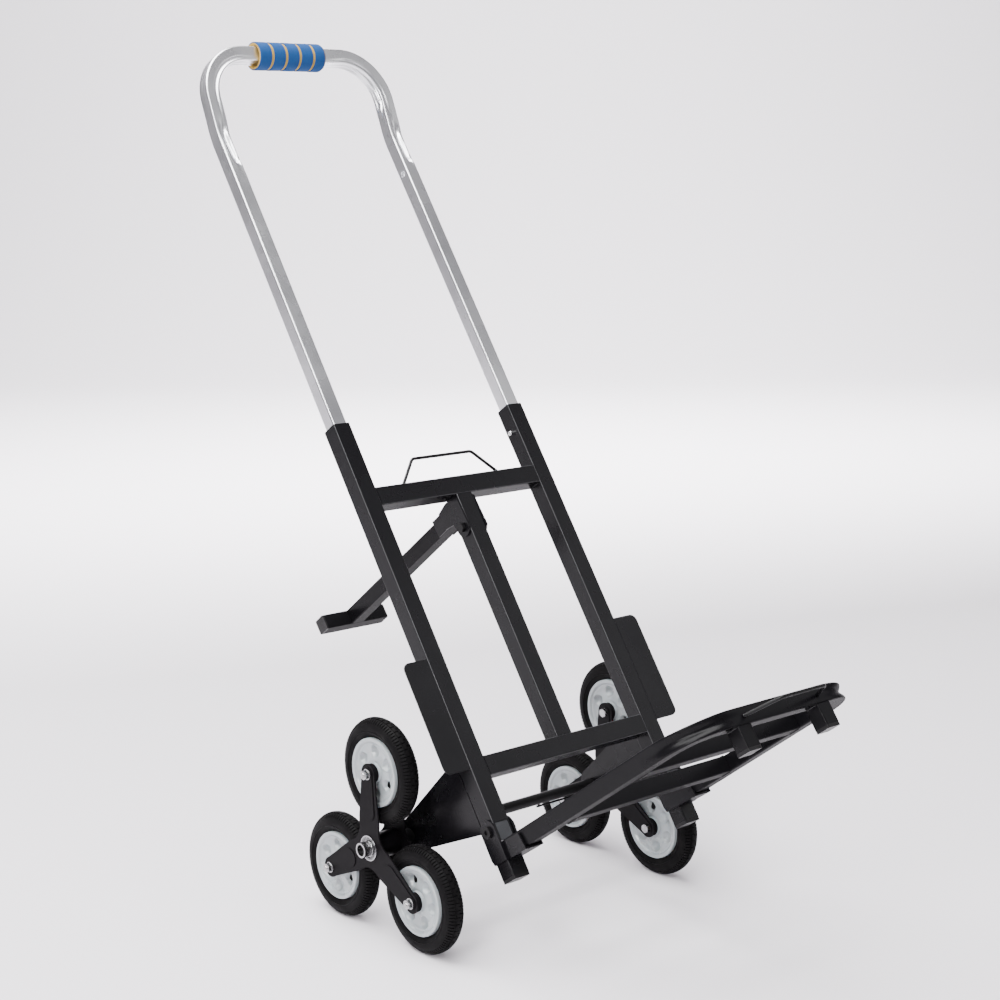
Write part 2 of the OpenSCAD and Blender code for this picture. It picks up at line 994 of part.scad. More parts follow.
// Dished plastic rim with lips, hub, pressed dimples and one valve hole
module rim(s, i) {
  half = 15.6;
  hub_half = spider_half - spider_t - collar_h - 0.5;
  color([0.8, 0.81, 0.82])
    at_wheel(s, i)
      rotate([0, 90, 0])
        difference() {
          rotate_extrude()
            difference() {
              union() {
                translate([6.05, -hub_half])
                  square([8.5, 2 * hub_half]);
                translate([12, -12])
                  square([rim_r - 14, 24]);
                translate([rim_r - 8, -half])
                  square([8, 2 * half]);
              }
              for (m = [-1, 1])
                translate([0, m * 13.5]) {
                  translate([20, -2.5])
                    square([rim_r - 29, 5]);
                }
            }
          for (k = [0:4])
            for (m = [-1, 1])
              rotate([0, 0, 60 * k + 30])
                translate([31, 0, m * 12])
                  intersection() {
                    translate([6, 0, -2.5])
                      cylinder(h = 5, r = 12);
                    translate([-6, 0, -2.5])
                      cylinder(h = 5, r = 12);
                  }
          rotate([0, 0, -30])
            translate([36, 0, -20])
              cylinder(h = 40, d = 9);
        }
}

module tyre_left_top() {
  tyre(-1, 0);
}

module tyre_left_front() {
  tyre(-1, 1);
}

module tyre_left_back() {
  tyre(-1, 2);
}

module tyre_right_top() {
  tyre(1, 0);
}

module tyre_right_front() {
  tyre(1, 1);
}

module tyre_right_back() {
  tyre(1, 2);
}

module rim_left_top() {
  rim(-1, 0);
}

module rim_left_front() {
  rim(-1, 1);
}

module rim_left_back() {
  rim(-1, 2);
}

module rim_right_top() {
  rim(1, 0);
}

module rim_right_front() {
  rim(1, 1);
}

module rim_right_back() {
  rim(1, 2);
}

side_tube_left();
side_tube_right();
upper_crossbar();
lower_crossbar();
centre_tube();
fender_left();
fender_right();
gusset_left();
gusset_right();
axle();
axle_end_sleeves();
hub_spacers();
upper_bail();
axle_hook();
pivot_plugs();
toe_pivot_bolts();
prop_pivot_bolt();
handle_tube();
handle_end_plugs();
grip_sleeve();
grip_core();
button_left();
button_right();
prop_bracket();
prop_arm();
prop_foot_caps();
toe_frame();
toe_crossbars();
toe_feet();
toe_foot_caps();
heel_bracket_left();
heel_bracket_right();
heel_feet();
heel_foot_caps();
toe_bail();
spider_outer_left();
spider_inner_left();
hub_tube_left();
hub_bearings_left();
wheel_bolts_left();
wheel_sleeves_left();
spider_outer_right();
spider_inner_right();
hub_tube_right();
hub_bearings_right();
wheel_bolts_right();
wheel_sleeves_right();
tyre_left_top();
tyre_left_front();
tyre_left_back();
tyre_right_top();
tyre_right_front();
tyre_right_back();
rim_left_top();
rim_left_front();
rim_left_back();
rim_right_top();
rim_right_front();
rim_right_back();
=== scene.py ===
"""Stair climbing trolley: the looks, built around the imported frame. Metres, same frame as the CAD."""

import json
import math
import random

import bmesh
import bpy
from mathutils import Matrix, Vector


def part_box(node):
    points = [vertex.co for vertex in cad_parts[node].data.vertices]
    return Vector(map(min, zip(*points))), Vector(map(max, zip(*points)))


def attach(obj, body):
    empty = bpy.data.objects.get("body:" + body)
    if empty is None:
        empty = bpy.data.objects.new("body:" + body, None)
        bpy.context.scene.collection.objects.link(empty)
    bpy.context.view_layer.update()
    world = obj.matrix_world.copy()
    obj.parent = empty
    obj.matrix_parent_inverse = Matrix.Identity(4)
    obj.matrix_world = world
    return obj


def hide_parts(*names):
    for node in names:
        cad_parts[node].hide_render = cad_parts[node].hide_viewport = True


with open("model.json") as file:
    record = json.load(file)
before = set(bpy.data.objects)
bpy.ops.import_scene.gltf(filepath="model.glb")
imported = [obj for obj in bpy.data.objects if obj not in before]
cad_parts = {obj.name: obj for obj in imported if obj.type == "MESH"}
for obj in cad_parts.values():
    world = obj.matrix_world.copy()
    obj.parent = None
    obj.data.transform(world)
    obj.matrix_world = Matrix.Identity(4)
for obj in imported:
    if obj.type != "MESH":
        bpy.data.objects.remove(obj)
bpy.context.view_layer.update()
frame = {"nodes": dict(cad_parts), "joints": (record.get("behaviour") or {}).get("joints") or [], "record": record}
MM = 0.001
SIDES = ((-1, "left"), (1, "right"))

# ---------------------------------------------------------------------------
# The leaning frame: x across, u up along the tubes from the axle, v ahead of the tube front faces
# ---------------------------------------------------------------------------
joint = {j["name"]: j for j in frame["joints"]}
mount = {m["name"]: m for m in frame["record"]["mounts"]}
AXLE = Vector((0, *joint["cluster_left_turn"]["pos_m"][1:]))
AHEAD = Vector(mount["load_rest"]["axis"]).normalized()
UP = Vector((0, AHEAD.z, -AHEAD.y))
FACE = (Vector(mount["load_rest"]["pos_m"]) - AXLE).dot(AHEAD) / MM
DECK_ORIGIN = Vector(mount["toe_deck"]["pos_m"])
DECK = Vector(mount["toe_deck"]["axis"]).normalized()
DECK_AHEAD = Vector((0, -DECK.z, DECK.y))


def at(x, u, v):
    """World point of (x, u, v) in millimetres."""
    return AXLE + Vector((x * MM, 0, 0)) + UP * (u * MM) + AHEAD * ((FACE + v) * MM)


def place_in_scene(name, data):
    obj = bpy.data.objects.new(name, data)
    bpy.context.scene.collection.objects.link(obj)
    return obj


# ---------------------------------------------------------------------------
# Camera, fitted so that the tubes, the wheels and the axle fall where the photograph has them
# ---------------------------------------------------------------------------
VIEW_AZIMUTH, VIEW_ELEVATION, VIEW_ROLL = (math.radians(angle) for angle in (-40.69, 9.98, -0.39))
VIEW_ACROSS = Vector((math.cos(VIEW_AZIMUTH), math.sin(VIEW_AZIMUTH), 0))
EYE = Vector((-1.88395, -2.18387 + AXLE.y, 1.13171))
LENS, SENSOR_WIDTH = 69.68, 36


def make_camera():
    back = Vector((math.sin(VIEW_AZIMUTH) * math.cos(VIEW_ELEVATION),
                   -math.cos(VIEW_AZIMUTH) * math.cos(VIEW_ELEVATION),
                   math.sin(VIEW_ELEVATION)))
    over = back.cross(VIEW_ACROSS)
    right = VIEW_ACROSS * math.cos(VIEW_ROLL) + over * math.sin(VIEW_ROLL)
    top = over * math.cos(VIEW_ROLL) - VIEW_ACROSS * math.sin(VIEW_ROLL)
    camera = bpy.data.cameras.new("camera")
    camera.lens = LENS
    camera.sensor_width = SENSOR_WIDTH
    camera.clip_end = 100
    obj = place_in_scene("camera", camera)
    obj.matrix_world = Matrix.Translation(EYE) @ Matrix((right, top, back)).transposed().to_4x4()
    bpy.context.scene.camera = obj


# ---------------------------------------------------------------------------
# Materials
# ---------------------------------------------------------------------------
class Shader:
    """A Principled material and the nodes that vary it over the surface."""

    def __init__(self, name, color, roughness, metallic=0.0, **sockets):
        self.material = bpy.data.materials.new(name)
        self.material.use_nodes = True
        self.tree = self.material.node_tree
        self.bsdf = self.tree.nodes["Principled BSDF"]
        self.color = (*color, 1)
        self.bsdf.inputs["Base Color"].default_value = self.color
        self.bsdf.inputs["Roughness"].default_value = roughness
        self.bsdf.inputs["Metallic"].default_value = metallic
        for key, value in sockets.items():
            self.bsdf.inputs[key.replace("_", " ")].default_value = value
        self.coords = self.node("ShaderNodeTexCoord").outputs["Object"]
        self.normal = None

    def node(self, kind, **settings):
        n = self.tree.nodes.new(kind)
        for key, value in settings.items():
            setattr(n, key, value)
        return n

    def link(self, a, b):
        self.tree.links.new(a, b)

    def stretched(self, scale):
        mapping = self.node("ShaderNodeMapping")
        mapping.inputs["Scale"].default_value = scale
        self.link(self.coords, mapping.inputs["Vector"])
        return mapping.outputs["Vector"]

    def noise(self, scale, detail=3.0, rough=0.55, stretch=None):
        n = self.node("ShaderNodeTexNoise")
        n.inputs["Scale"].default_value = scale
        n.inputs["Detail"].default_value = detail
        n.inputs["Roughness"].default_value = rough
        self.link(self.stretched(stretch) if stretch else self.coords, n.inputs["Vector"])
        return n.outputs["Fac"]

    def cells(self, scale):
        n = self.node("ShaderNodeTexVoronoi")
        n.inputs["Scale"].default_value = scale
        self.link(self.coords, n.inputs["Vector"])
        return n.outputs["Distance"]

    def ramp(self, fac, low, high, a=0.0, b=1.0):
        """a where fac is low, b where it is high, and a straight line between."""
        n = self.node("ShaderNodeMapRange")
        n.inputs["From Min"].default_value = low
        n.inputs["From Max"].default_value = high
        n.inputs["To Min"].default_value = a
        n.inputs["To Max"].default_value = b
        self.link(fac, n.inputs["Value"])
        return n.outputs["Result"]

    def calc(self, operation, a, b=0):
        n = self.node("ShaderNodeMath", operation=operation)
        for i, value in enumerate((a, b)):
            if isinstance(value, (int, float)):
                n.inputs[i].default_value = value
            else:
                self.link(value, n.inputs[i])
        return n.outputs["Value"]

    def squareness(self):
        """1 on a face square to the leaning frame, and less on the corner between two such faces."""
        normal = self.node("ShaderNodeTexCoord").outputs["Normal"]
        most = 0
        for axis in (Vector((1, 0, 0)), AHEAD, UP):
            dot = self.node("ShaderNodeVectorMath", operation="DOT_PRODUCT")
            self.link(normal, dot.inputs[0])
            dot.inputs[1].default_value = axis
            most = self.calc("MAXIMUM", most, self.calc("ABSOLUTE", dot.outputs["Value"]))
        return most

    def tint(self, fac, other):
        """Mixes another colour over the base colour where fac is 1."""
        n = self.node("ShaderNodeMix", data_type="RGBA")
        source = self.bsdf.inputs["Base Color"]
        if source.is_linked:
            self.link(source.links[0].from_socket, n.inputs["A"])
        else:
            n.inputs["A"].default_value = self.color
        n.inputs["B"].default_value = (*other, 1)
        self.link(fac, n.inputs["Factor"])
        self.link(n.outputs["Result"], source)

    def roughness(self, fac, a, b):
        result = self.ramp(fac, 0.25, 0.75, a, b)
        self.link(result, self.bsdf.inputs["Roughness"])
        self.link(result, self.bsdf.inputs["Coat Roughness"])

    def bump(self, height, distance, strength=1.0):
        """Adds a bump, distance metres deep, on top of those added before."""
        n = self.node("ShaderNodeBump")
        n.inputs["Strength"].default_value = strength
        n.inputs["Distance"].default_value = distance
        self.link(height, n.inputs["Height"])
        if self.normal:
            self.link(self.normal, n.inputs["Normal"])
        self.normal = n.outputs["Normal"]
        self.link(self.normal, self.bsdf.inputs["Normal"])
        self.link(self.normal, self.bsdf.inputs["Coat Normal"])


def powder_coat(name, color, roughness, gloss=0.37, painted_edge_highlight=False):
    """Sprayed paint: fine orange peel, dust and long scuffs. The clear coat makes its gloss; on request a lighter
    colour along the rounded corners paints their highlight.
    """
    s = Shader(name, color, roughness, Specular_IOR_Level=0.0, Coat_Weight=gloss)
    s.bump(s.noise(900, 2), 0.00006, 0.35)
    s.bump(s.noise(160, 2), 0.00025, 0.07)
    s.roughness(s.noise(14, 4), roughness - 0.05, roughness + 0.07)
    dusty = tuple(c * 1.3 + 0.001 for c in color)
    s.tint(s.ramp(s.noise(9, 6, 0.7), 0.5, 0.78, 0, 0.2), dusty)
    s.tint(s.ramp(s.noise(60, 5, 0.75, stretch=(1, 1, 0.08)), 0.69, 0.74, 0, 0.2), (0.012, 0.012, 0.013))
    # painted highlight: a lighter colour on the rounded corners between faces, in place of the edge highlight that
    # the light would make
    if painted_edge_highlight:
        s.tint(s.ramp(s.squareness(), 0.96, 0.84, 0, 0.7), (0.05, 0.05, 0.053))
    return s.material


def hub_tube_paint():
    """Black paint that stops short of the turned tube ends."""
    painted_half = 25.1 * MM
    middle = abs(joint["cluster_left_turn"]["pos_m"][0])
    s = Shader("hub_tube_paint", (0.0036, 0.0031, 0.0038), 0.4, Specular_IOR_Level=0.07)
    s.bump(s.noise(900, 2), 0.00006, 0.35)
    split = s.node("ShaderNodeSeparateXYZ")
    s.link(s.coords, split.inputs["Vector"])
    along = s.calc("SUBTRACT", s.calc("ABSOLUTE", split.outputs["X"]), middle)
    bare = s.calc("GREATER_THAN", s.calc("ABSOLUTE", along), painted_half)
    s.tint(bare, (0.36, 0.36, 0.37))
    s.tint(s.calc("MULTIPLY", bare, s.ramp(s.noise(150, 4), 0.45, 0.75, 0, 0.5)), (0.18, 0.18, 0.18))
    s.link(bare, s.bsdf.inputs["Metallic"])
    s.link(s.ramp(bare, 0, 1, 0.4, 0.22), s.bsdf.inputs["Roughness"])
    return s.material


def aluminium():
    """Mill finish with soft, large patches and small marks."""
    s = Shader("aluminium_tube", (0.8, 0.805, 0.82), 0.26, 1.0)
    s.roughness(s.noise(9, 4, 0.6), 0.2, 0.34)
    s.bump(s.noise(34, 2, 0.5), 0.0004, 0.12)
    s.tint(s.ramp(s.noise(7, 5, 0.6), 0.4, 0.7, 0, 0.5), (0.6, 0.61, 0.63))
    s.tint(s.ramp(s.noise(75, 6, 0.75), 0.6, 0.8, 0, 0.3), (0.5, 0.505, 0.52))
    return s.material


def bare_steel(name, color, roughness):
    """Plated or turned steel, a little dull in patches."""
    s = Shader(name, color, roughness, 1.0)
    s.roughness(s.noise(220, 4), roughness - 0.06, roughness + 0.12)
    s.tint(s.ramp(s.noise(120, 5), 0.45, 0.75, 0, 0.4), (0.2, 0.195, 0.19))
    s.bump(s.noise(1400, 2), 0.00004, 0.4)
    return s.material


def tyre_rubber():
    """Matt rubber with fine grain and dusty patches."""
    s = Shader("tyre_rubber", (0.0022, 0.0019, 0.0022), 0.6, Specular_IOR_Level=0.08)
    s.bump(s.noise(1100, 3), 0.0001, 0.5)
    s.bump(s.cells(420), 0.00008, 0.25)
    s.roughness(s.noise(40, 5), 0.54, 0.74)
    s.tint(s.ramp(s.noise(26, 6, 0.7), 0.5, 0.8, 0, 0.5), (0.0125, 0.012, 0.0115))
    return s.material


def rim_plastic():
    """Pale grey moulded plastic, slightly wavy, with faint dirt."""
    s = Shader("rim_plastic", (0.3, 0.327, 0.338), 0.22, Specular_IOR_Level=0.65,
               Subsurface_Weight=0.06, Subsurface_Scale=0.004)
    s.bump(s.noise(500, 3), 0.00006, 0.3)
    s.bump(s.noise(75, 3), 0.0004, 0.16)
    s.roughness(s.noise(30, 5), 0.14, 0.32)
    s.tint(s.ramp(s.noise(24, 5), 0.45, 0.75, 0, 0.35), (0.24, 0.262, 0.272))
    s.tint(s.ramp(s.noise(90, 6, 0.8), 0.69, 0.8, 0, 0.4), (0.26, 0.27, 0.275))
    return s.material


def foam(name, color, shade):
    """Closed-cell foam: small pits and uneven shade."""
    s = Shader(name, color, 0.82, Specular_IOR_Level=0.15, Sheen_Weight=0.04, Sheen_Roughness=0.5)
    s.bump(s.cells(1500), 0.0002, 0.7)
    s.bump(s.noise(260, 4), 0.0005, 0.35)
    s.roughness(s.noise(150, 4), 0.74, 0.92)
    s.tint(s.ramp(s.cells(1500), 0.32, 0.62, 0, 0.5), shade)
    s.tint(s.ramp(s.noise(60, 5), 0.45, 0.8, 0, 0.3), shade)
    return s.material


def moulded(name, color, roughness):
    """Dark moulded plastic with a pitted skin."""
    s = Shader(name, color, roughness, Specular_IOR_Level=0.2)
    s.bump(s.ramp(s.cells(520), 0.12, 0.3), 0.00016, 0.8)
    s.bump(s.noise(180, 3), 0.0002, 0.3)
    s.roughness(s.noise(60, 4), roughness - 0.08, roughness + 0.1)
    worn = tuple(c * 2 + 0.004 for c in color)
    s.tint(s.ramp(s.noise(45, 6), 0.52, 0.8, 0, 0.35), worn)
    return s.material


def floor_paper():
    s = Shader("floor_paper", (0.8, 0.768, 0.808), 0.75, Specular_IOR_Level=0.2)
    s.bump(s.noise(30, 4), 0.0006, 0.05)
    s.tint(s.ramp(s.noise(0.6, 3), 0.4, 0.7, 0, 0.2), (0.77, 0.76, 0.77))
    return s.material


FRAME_BLACK = (0.0036, 0.0034, 0.0042)
MATERIAL = {
    "frame_paint": powder_coat("frame_powder_coat", FRAME_BLACK, 0.26),
    # the tubes get the painted highlight along their corners
    "tube_paint": powder_coat("tube_powder_coat", FRAME_BLACK, 0.26, painted_edge_highlight=True),
    "toe_paint": powder_coat("toe_powder_coat", (0.0033, 0.0031, 0.0038), 0.28, 0.22),
    "cluster_paint": powder_coat("cluster_powder_coat", (0.0036, 0.0031, 0.0038), 0.4, 0.17),
    "hub_paint": hub_tube_paint(),
    "axle_black": powder_coat("black_oxide", (0.0045, 0.0043, 0.0047), 0.34),
    "wire_black": powder_coat("wire_black", (0.0042, 0.0042, 0.0046), 0.26),
    "zinc": bare_steel("zinc_plate", (0.36, 0.36, 0.365), 0.22),
    "bright_steel": bare_steel("turned_steel", (0.32, 0.32, 0.325), 0.2),
    "bearing_steel": bare_steel("bearing_steel", (0.2, 0.2, 0.205), 0.26),
    "button_steel": bare_steel("button_chrome", (0.78, 0.78, 0.79), 0.14),
    "aluminium": aluminium(),
    "grip_blue": foam("grip_foam_blue", (0.008, 0.056, 0.19), (0.005, 0.034, 0.12)),
    "grip_core": foam("grip_foam_yellow", (0.44, 0.285, 0.065), (0.28, 0.16, 0.026)),
    "cap_plastic": moulded("cap_plastic", (0.0055, 0.0052, 0.0056), 0.42),
    "plug_plastic": moulded("plug_plastic", (0.03, 0.031, 0.034), 0.38),
    "tyre": tyre_rubber(),
    "rim": rim_plastic(),
}


# ---------------------------------------------------------------------------
# Mesh helpers
# ---------------------------------------------------------------------------
CLOSED = 0.01  # radius in millimetres at which a turned profile closes on its axis


def new_object(name, verts, faces, slot, body, smooth=35):
    """Piece that rides on body. Edges over smooth degrees stay sharp, and none do at 0."""
    mesh = bpy.data.meshes.new(name)
    mesh.from_pydata([tuple(v) for v in verts], [], faces)
    mesh.validate()
    bm = bmesh.new()
    bm.from_mesh(mesh)
    bmesh.ops.recalc_face_normals(bm, faces=bm.faces)
    bm.to_mesh(mesh)
    bm.free()
    mesh.shade_smooth()
    if smooth:
        mesh.set_sharp_from_angle(angle=math.radians(smooth))
    obj = place_in_scene(name, mesh)
    mesh.materials.append(MATERIAL[slot])
    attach(obj, body)
    return obj


def grid_faces(rings, size, closed_rings=False):
    """Quads between rings of the same size, each ring closed on itself."""
    faces = []
    for i in range(rings if closed_rings else rings - 1):
        this, following = i * size, (i + 1) % rings * size
        for j in range(size):
            k = (j + 1) % size
            faces.append((this + j, this + k, following + k, following + j))
    return faces


def end_caps(rings, size):
    """The first and the last ring of an open grid, as faces."""
    last = (rings - 1) * size
    return [tuple(range(size)), tuple(range(last, last + size))]


def section(w, r, along=9, corner=5):
    """Points of a square section with round corners, in order, as (a, b) in millimetres."""
    points = []
    flat = w / 2 - r
    for k in range(4):
        turn = math.radians(90 * k)
        side = [(w / 2, flat * (2 * i / along - 1)) for i in range(along)]
        side += [(flat + r * math.cos(q), flat + r * math.sin(q))
                 for q in (math.pi / 2 * i / corner for i in range(corner))]
        points += [(a * math.cos(turn) - b * math.sin(turn), a * math.sin(turn) + b * math.cos(turn))
                   for a, b in side]
    return points


def bell(t):
    """1 at 0, falling smoothly to nothing beyond about 2."""
    return math.exp(-t * t)


def plateau(t):
    """Near 1 between -1 and 1, and near 0 beyond."""
    return 1 / (1 + t ** 6)


def clamp(t):
    return max(0.0, min(1.0, t))


def polar(r, q, h):
    """Point at radius r, angle q and height h, in millimetres and radians."""
    return Vector((r * math.cos(q) * MM, r * math.sin(q) * MM, h * MM))


def swept_tube(name, path, w, r, slot, body, dents=(), along=9):
    """Square tube along path, a list of (centre, e1, e2, length). A dent is a function of (a, b, s) that
    says how far a and b move."""
    outline = section(w, r, along)
    verts = []
    for centre, e1, e2, s in path:
        for a, b in outline:
            da = sum(dent(a, b, s)[0] for dent in dents)
            db = sum(dent(a, b, s)[1] for dent in dents)
            verts.append(centre + e1 * ((a + da) * MM) + e2 * ((b + db) * MM))
    rings, size = len(path), len(outline)
    return new_object(name, verts, grid_faces(rings, size) + end_caps(rings, size), slot, body, 50)


def lathe(name, profile, place, slot, body, steps=64, smooth=35):
    """Closed ring profile of (radius, height) in millimetres, turned about the local Z of place."""
    verts = []
    for i in range(steps):
        q = 2 * math.pi * i / steps
        verts += [place @ polar(r, q, h) for r, h in profile]
    return new_object(name, verts, grid_faces(steps, len(profile), True), slot, body, smooth)


def facing(direction, origin):
    """Matrix whose Z is direction and whose origin is origin."""
    return Matrix.Translation(origin) @ Vector(direction).to_track_quat("Z", "Y").to_matrix().to_4x4()


# ---------------------------------------------------------------------------
# Wheels
# ---------------------------------------------------------------------------
WHEEL_R, SECTION_R, RIM_R = 80, 16.1, 52
# The tread repeats in pitches. Of a pitch's five columns, two carry the cuts between the blocks.
PITCHES = 94
COLUMNS, CUT_COLUMNS = (0.0, 0.07, 0.27, 0.34, 0.67), (1, 2)
# Angles round the tyre's section from the middle of the tread, in degrees
RIB, GROOVE, SHOULDER, NOTCH, SIDE_RIDGE = 17.5, (19, 24.5), (26, 46), 52, 101
SECTION_ANGLES = [6, 12, RIB, *GROOVE, SHOULDER[0], 32, 38, 43, SHOULDER[1], NOTCH, 60, 70, 80, 90, 98,
                  SIDE_RIDGE, 104, 112]
# Rim: steps round the wheel and millimetres between rows, the pockets and the middle of the first one,
# and half the open hole's size in steps and rows
RIM_STEPS, RIM_ROW = 144, 1.5
POCKETS, POCKET_R, POCKET_Q = 6, 31.5, math.radians(30)
HOLE = 4
# Turn of each rim in radians, which sets where its open hole stands
RIM_TURN = {("left", "top"): -2.58, ("left", "front"): -0.12, ("left", "back"): -2.59,
            ("right", "top"): -1.74, ("right", "front"): 2.44, ("right", "back"): 1.1}
# From the wheel's middle to the outer face of a spider plate, and the wheel bolt's sizes
PLATE_HALF = 24.75 + 1.2
BOLT_FLATS, BOLT_HEAD, BOLT_NUT, WASHER = 13, 5.2, 6.3, 1.3
THREAD_PITCH, THREAD_TURNS = 1.2, 10
# Bearing shield as (radius, depth under the bearing's face), and snap ring as (radius, height)
SHIELD = [(17.4, 0.5), (16.9, 0), (15.6, 0), (15.2, 0.4), (15.0, 1.7), (14.2, 2.0), (13.6, 1.3), (12.4, 1.1),
          (11.7, 1.9), (11.4, 2.2), (11.2, 0.6), (10.9, 0.2), (9.3, 0.2), (8.65, 0.6)]
SNAP_RING = [(9.4, 26.4), (11.9, 26.4), (12.3, 26.8), (12.3, 27.5), (11.9, 27.9), (9.4, 27.9)]


def wheel_place(centre, turn, outward=1):
    """Matrix whose Z runs along the wheel's axis, to the left or the right, turned about it."""
    across = Matrix.Rotation(math.pi / 2 * outward, 4, "Y")
    return Matrix.Translation(centre) @ across @ Matrix.Rotation(turn, 4, "Z")


def tread_depth(pitch, cut, phi):
    """How far the tyre lies under its round section, in millimetres. The rib's cuts alternate by side."""
    angle = abs(phi)
    if angle in GROOVE:
        return 1.3
    if cut and angle <= RIB:
        return 1.8 if (pitch + (phi > 0)) % 2 == 0 else 0.0
    if cut and SHOULDER[0] <= angle <= SHOULDER[1]:
        return 2.0
    if cut and angle == NOTCH:
        return 1.7
    if angle == SIDE_RIDGE:
        return -0.35
    return 0.6 if angle >= NOTCH else 0.0


def tyre(name, centre, body, spin):
    """Tyre with a centre rib of blocks, two ring grooves and fine shoulder blocks."""
    place = wheel_place(centre, spin)
    middle = WHEEL_R - SECTION_R
    bead = math.degrees(math.acos((RIM_R - middle) / SECTION_R))
    half = [*SECTION_ANGLES, bead]
    rows = [-phi for phi in reversed(half)] + [0] + half
    verts = []
    for pitch in range(PITCHES):
        for column, part in enumerate(COLUMNS):
            q = 2 * math.pi * (pitch + part) / PITCHES
            for phi in rows:
                rho = SECTION_R - tread_depth(pitch, column in CUT_COLUMNS, phi)
                f = math.radians(phi)
                verts.append(place @ polar(middle + rho * math.cos(f), q, rho * math.sin(f)))
    return new_object(name, verts, grid_faces(PITCHES * len(COLUMNS), len(rows), True), "tyre", body, 28)


def rim_height(r, q):
    """Height in millimetres of the rim's face over the wheel's middle plane: lip, dish, boss and pockets."""
    lip = 15.4 - (0 if r > 46.5 else 2.6 * min(1, (46.5 - r) / 2.5))
    boss = 0.0 if r > 19 else -1.2 * min(1, (19 - r) / 3)
    h = lip - 3.4 * bell((r - 31) / 10.5) + boss + 0.7 * bell((r - 41.5) / 1.6)
    for k in range(POCKETS):
        turn = (q - POCKET_Q - 2 * math.pi / POCKETS * k + math.pi) % (2 * math.pi) - math.pi
        along = (r - POCKET_R) / 9.4
        wide = turn * r / (8.6 + 0.14 * (r - POCKET_R))
        inside = max(0.0, 1 - along * along - wide * wide)
        h -= 6.2 * inside ** 0.8
        h += 0.55 * bell((math.sqrt(along * along + wide * wide) - 1.12) / 0.16)
    return h


def round_hole(a, b):
    """Moves a point near the unit square so that the square's edge becomes a teardrop."""
    m = max(abs(a), abs(b))
    if m == 0 or m >= 2:
        return a, b
    u, v = a / m, b / m
    drop = (u * math.sqrt(1 - v * v / 2) * (1 - 0.28 * v), v * math.sqrt(1 - u * u / 2))
    if m <= 1:
        return drop[0] * m, drop[1] * m
    return drop[0] * (2 - m) * m + a * (m - 1), drop[1] * (2 - m) * m + b * (m - 1)


def hole_shade_sleeve(name, edge, body):
    """Dark sleeve over the wall of the rim's open hole, as painted shade: it stands for the shade inside the hole.
    edge pairs the front and back points of the hole's wall.
    """
    middle = sum((p + q for p, q in edge), Vector()) / (2 * len(edge))
    verts = []
    for size, depth in ((0.985, 0.93), (0.93, 0.93), (0.93, -0.93), (0.985, -0.93)):
        for p, q in edge:
            verts.append(middle + ((p + q) / 2 - middle) * size + (p - q) / 2 * depth)
    new_object(name, verts, grid_faces(4, len(edge), True), "cap_plastic", body, 40)


def rim(name, centre, body, turn, outward):
    """Moulded rim: lip, shallow dish with lens-shaped pockets, hub boss, bore and one hole right through."""
    place = wheel_place(centre, turn, outward)
    radii = [49.5, 48.5, 47.3, 46.3, 45.2, 43.8] + [42 - RIM_ROW * i for i in range(16)]
    radii += [18.5, 17.5, 16.4, 15.4]
    mid_r, mid_q = radii.index(POCKET_R), round(POCKET_Q / (2 * math.pi) * RIM_STEPS)
    lip = [(51.6, 14.4), (51.2, 15.1), (50.4, 15.4)]
    hub = [(14.4, 14.8), (13.6, 15.1), (6.6, 15.1), (6.1, 14.6)]
    verts = []
    for i in range(RIM_STEPS):
        dish = []
        for j, r in enumerate(radii):
            a, b = round_hole((i - mid_q) / HOLE, (mid_r - j) / HOLE)
            if abs(i - mid_q) < 2 * HOLE and abs(j - mid_r) < 2 * HOLE:
                r = POCKET_R + b * HOLE * RIM_ROW
            q = 2 * math.pi * (mid_q + a * HOLE) / RIM_STEPS
            dish.append((r, q, rim_height(r, q)))
        q = 2 * math.pi * i / RIM_STEPS
        ring = [(r, q, h) for r, h in lip] + dish + [(r, q, h) for r, h in hub]
        ring += [(r, t, -h) for r, t, h in reversed(ring)]
        verts += [place @ polar(*point) for point in ring]
    size = 2 * (len(lip) + len(radii) + len(hub))
    front = len(lip) + mid_r

    def index(i, j, back):
        """Vertex i steps round and j rows in from the hole's middle, on the front or the back."""
        return (mid_q + i) * size + (size - 1 - front - j if back else front + j)

    def within(values):
        return all(abs(value) <= HOLE for value in values)

    faces = []
    for face in grid_faces(RIM_STEPS, size, True):
        around = [v // size - mid_q for v in face]
        front_rows = [v % size - front for v in face]
        back_rows = [size - 1 - front - v % size for v in face]
        if not (within(around) and (within(front_rows) or within(back_rows))):
            faces.append(face)
    outline = [(i, -HOLE) for i in range(-HOLE, HOLE)] + [(HOLE, j) for j in range(-HOLE, HOLE)]
    outline += [(-i, -j) for i, j in outline]
    for (i, j), (m, n) in zip(outline, outline[1:] + outline[:1]):
        faces.append((index(i, j, False), index(m, n, False), index(m, n, True), index(i, j, True)))
    edge = [(verts[index(i, j, False)], verts[index(i, j, True)]) for i, j in outline]
    # painted shade: a dark sleeve lines the open hole
    hole_shade_sleeve(name + "_hole_liner", edge, body)
    return new_object(name, verts, faces, "rim", body, 40)


def hexagon(name, place, z0, z1, body, face_up=True, bore=3.9):
    """Bolt head or nut from z0 to z1, with chamfered corners on the face that looks up or down."""
    half = BOLT_FLATS / 2
    steps = 48
    verts = []
    for i in range(steps):
        q = 2 * math.pi * i / steps
        r = half / math.cos((q + math.pi / 6) % (math.pi / 3) - math.pi / 6)
        chamfer = 0.58 * (r - half * 0.985)
        low = z0 + (0.05 if face_up else chamfer)
        high = z1 - (chamfer if face_up else 0.05)
        face = half * 0.93
        ring = [(bore, z0), (face, z0), (r, low), (r, high), (face, z1), (bore, z1)]
        verts += [place @ polar(a, q, h) for a, h in ring]
    return new_object(name, verts, grid_faces(steps, 6, True), "zinc", body, 25)


